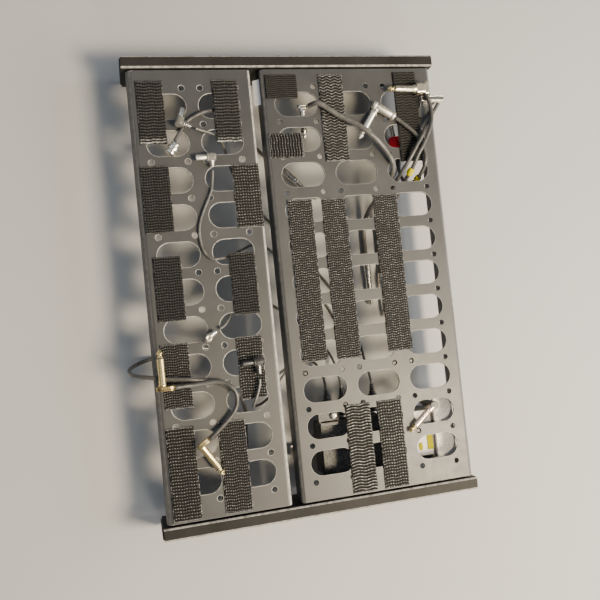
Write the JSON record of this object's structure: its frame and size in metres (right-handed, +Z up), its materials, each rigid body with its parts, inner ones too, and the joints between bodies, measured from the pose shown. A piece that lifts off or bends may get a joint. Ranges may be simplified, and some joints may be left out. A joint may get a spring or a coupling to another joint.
{
  "type": "pedalboard",
  "caption": "Flat two-deck effects pedalboard with slotted sheet decks, box end rails, hook tape strips, patch and DC leads and a slung power supply.",
  "frame": {"origin": "on the floor under the middle of the frame", "axes": "+X to the player's right along the board, +Y to the rear deck, +Z up"},
  "size_m": [0.4356, 0.3296, 0.0729],
  "materials": {
    "deck_coat": "satin powder coat, fine texture",
    "rail_coat": "satin powder coat",
    "cap_plastic": "moulded",
    "foot_rubber": "matte",
    "hook_tape": "woven hook tape",
    "supply_plastic": "fine texture",
    "supply_metal": "cast, speckled",
    "strap_metal": "satin",
    "inlet_plastic": "moulded",
    "selector_plastic": "moulded",
    "cord_jacket": "satin",
    "dc_plug_plastic": "moulded",
    "silver_plug": "bright nickel",
    "gold_plug": "bright gold plate"
  },
  "bodies": {
    "board": {"front_deck": "deck_coat", "rear_deck": "deck_coat", "left_rail": "rail_coat", "right_rail": "rail_coat", "supply_case": "supply_plastic", "supply_dark_cover": "supply_plastic", "supply_light_cover": "supply_metal", "supply_strap": "strap_metal", "mains_inlet": "inlet_plastic", "patch_plug_1": "silver_plug", "patch_plug_2": "gold_plug", "patch_plug_3": "gold_plug", "patch_plug_4": "gold_plug", "patch_plug_5": "silver_plug", "patch_plug_6": "gold_plug", "patch_plug_7": "silver_plug", "patch_plug_8": "silver_plug", "left_rail_front_cap": "cap_plastic", "left_rail_rear_cap": "cap_plastic", "right_rail_front_cap": "cap_plastic", "right_rail_rear_cap": "cap_plastic", "left_front_foot": "foot_rubber", "left_rear_foot": "foot_rubber", "right_front_foot": "foot_rubber", "right_rear_foot": "foot_rubber", "front_tape_1": "hook_tape", "front_tape_2": "hook_tape", "front_tape_3": "hook_tape", "front_tape_4": "hook_tape", "front_tape_5": "hook_tape", "front_tape_6": "hook_tape", "front_tape_7": "hook_tape", "front_tape_8": "hook_tape", "front_tape_9": "hook_tape", "front_tape_10": "hook_tape", "rear_tape_1": "hook_tape", "rear_tape_2": "hook_tape", "rear_tape_3": "hook_tape", "rear_tape_4": "hook_tape", "rear_tape_5": "hook_tape", "rear_tape_6": "hook_tape", "rear_tape_7": "hook_tape", "rear_tape_8": "hook_tape", "rear_tape_9": "hook_tape", "dc_lead_1": "cord_jacket", "dc_lead_2": "cord_jacket", "dc_lead_3": "cord_jacket", "dc_lead_4": "cord_jacket", "patch_cord_1": "cord_jacket", "patch_cord_2": "cord_jacket", "patch_cord_3": "cord_jacket", "patch_cord_4": "cord_jacket", "patch_cord_5": "cord_jacket", "patch_cord_6": "cord_jacket", "patch_cord_7": "cord_jacket", "dc_plug_1": "dc_plug_plastic", "dc_plug_2": "dc_plug_plastic", "dc_plug_3": "dc_plug_plastic", "dc_plug_4": "dc_plug_plastic"},
    "selector": {"voltage_selector": "selector_plastic"}
  },
  "joints": [
    {"name": "selector_slide", "type": "slide", "parent": "board", "child": "selector", "axis": [1, 0, 0], "range_m": [0, 0.004]}
  ]
}
